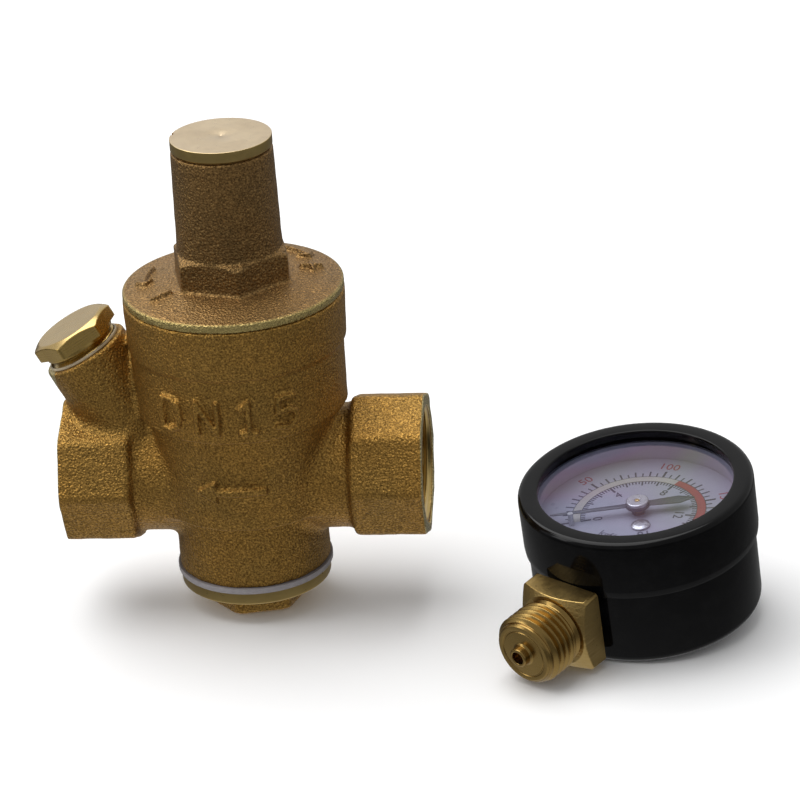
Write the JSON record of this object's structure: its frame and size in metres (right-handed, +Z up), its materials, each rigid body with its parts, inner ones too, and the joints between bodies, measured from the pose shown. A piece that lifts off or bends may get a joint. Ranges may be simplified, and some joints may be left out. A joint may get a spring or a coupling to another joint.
{
  "type": "pressure reducing valve",
  "caption": "Cast brass in-line pressure reducing valve with octagonal threaded ends, tall bonnet with cap, plugged gauge port, and its round pressure gauge lying beside it.",
  "frame": {"origin": "centre of the bottom cap's hexagonal face, on the valve's vertical axis", "axes": "+X along the pipe toward the inlet face, -X toward the outlet, +Z up along the bonnet, -Y toward the front"},
  "size_m": [0.1305, 0.0609, 0.0903],
  "materials": {
    "cast_brass": "sand cast, grainy, lightly tarnished",
    "turned_brass": "machined, fine turning marks",
    "gauge_brass": "machined, bright",
    "steel": "turned steel",
    "spring_steel": "oil tempered wire",
    "black_rubber": "moulded rubber",
    "grey_gasket": "compressed fibre",
    "cream_washer": "plastic sealing washer",
    "case_black": "glossy moulded",
    "window_clear": "clear polished",
    "dial_face": "white lacquer with printed scales",
    "pointer_dark": "painted"
  },
  "bodies": {
    "valve": {"valve_body": "cast_brass", "bonnet": "cast_brass", "bonnet_oring": "black_rubber", "bottom_cap": "turned_brass", "bottom_gasket": "grey_gasket", "balance_oring": "black_rubber", "stem_guide_oring": "black_rubber", "main_spring": "spring_steel"},
    "cap_ring": {"top_cap_oring": "black_rubber"},
    "cap": {"top_cap": "turned_brass"},
    "spring_seat": {"upper_spring_seat": "steel"},
    "screw": {"adjusting_screw": "turned_brass"},
    "piston_set": {"piston": "turned_brass", "piston_oring": "black_rubber", "piston_nut": "steel", "valve_stem": "steel", "disc_holder": "turned_brass", "valve_disc": "black_rubber", "disc_washer": "steel", "disc_nut": "steel"},
    "plug_washer": {"port_plug_washer": "cream_washer"},
    "plug": {"port_plug": "turned_brass"},
    "gauge": {"gauge_case": "case_black", "gauge_bezel": "case_black", "gauge_window": "window_clear", "gauge_dial": "dial_face", "dial_screw": "steel", "stop_pin": "steel", "gauge_socket": "gauge_brass", "case_screw_1": "steel", "case_screw_2": "steel", "movement_screw_1": "steel", "movement_screw_2": "steel", "bourdon_tube": "gauge_brass", "bourdon_tip": "gauge_brass", "movement_lower_plate": "gauge_brass", "movement_upper_plate": "gauge_brass", "movement_pillar_1": "gauge_brass", "movement_pillar_2": "gauge_brass", "hairspring": "spring_steel"},
    "pointer_set": {"pointer": "pointer_dark", "pointer_hub": "steel", "pinion_arbor": "gauge_brass"},
    "sector": {"sector_gear": "gauge_brass"},
    "link": {"tip_link": "steel"}
  },
  "joints": [
    {"name": "cap_lift", "type": "slide", "parent": "valve", "child": "cap_ring", "axis": [0, 0, 1], "range_m": [0, 0.006]},
    {"name": "cap_turn", "type": "hinge", "parent": "cap_ring", "child": "cap", "pos_m": [0, 0, 0.0893], "axis": [0, 0, 1], "range_deg": [0, 1441]},
    {"name": "spring_seat_slide", "type": "slide", "parent": "valve", "child": "spring_seat", "axis": [0, 0, -1], "range_m": [0, 0.006], "deforming": ["main_spring"]},
    {"name": "screw_turn", "type": "hinge", "parent": "spring_seat", "child": "screw", "pos_m": [0, 0, 0.0807], "axis": [0, 0, -1], "range_deg": [0, 1441]},
    {"name": "piston_stroke", "type": "slide", "parent": "valve", "child": "piston_set", "axis": [0, 0, 1], "range_m": [0, 0.003], "stiffness_N_per_m": 500, "springref_m": -0.02},
    {"name": "plug_lift", "type": "slide", "parent": "valve", "child": "plug_washer", "axis": [-0.4617, 0, 0.887], "range_m": [0, 0.00802]},
    {"name": "plug_turn", "type": "hinge", "parent": "plug_washer", "child": "plug", "pos_m": [-0.02808, 0, 0.0501], "axis": [-0.4617, 0, 0.887], "range_deg": [0, 2161]},
    {"name": "gauge_lift", "type": "slide", "parent": "valve", "child": "gauge", "axis": [0, 0, 1], "range_m": [0, 0.05]},
    {"name": "pointer_turn", "type": "hinge", "parent": "gauge", "child": "pointer_set", "pos_m": [0.07123, -0.01106, 0.02233], "axis": [0.073, 0.0976, -0.9925], "range_deg": [0, 267], "stiffness_Nm_per_rad": 0.00002, "springref_deg": -28.65},
    {"name": "sector_turn", "type": "hinge", "parent": "gauge", "child": "sector", "pos_m": [0.06551, -0.01871, 0.014], "axis": [-0.073, -0.0976, 0.9925], "range_deg": [0, 44.6]},
    {"name": "link_turn", "type": "hinge", "parent": "sector", "child": "link", "pos_m": [0.06743, -0.02337, 0.01449], "axis": [0.073, 0.0976, -0.9925], "range_deg": [0, 44.6]}
  ],
  "couplings": [
    {"joint": "cap_turn", "follows": "cap_lift", "rad_per_m": 4188.8},
    {"joint": "screw_turn", "follows": "spring_seat_slide", "rad_per_m": 4188.8},
    {"joint": "plug_turn", "follows": "plug_lift", "rad_per_m": 4699.5},
    {"joint": "sector_turn", "follows": "pointer_turn", "ratio": 0.16667},
    {"joint": "link_turn", "follows": "pointer_turn", "ratio": 0.16667}
  ]
}
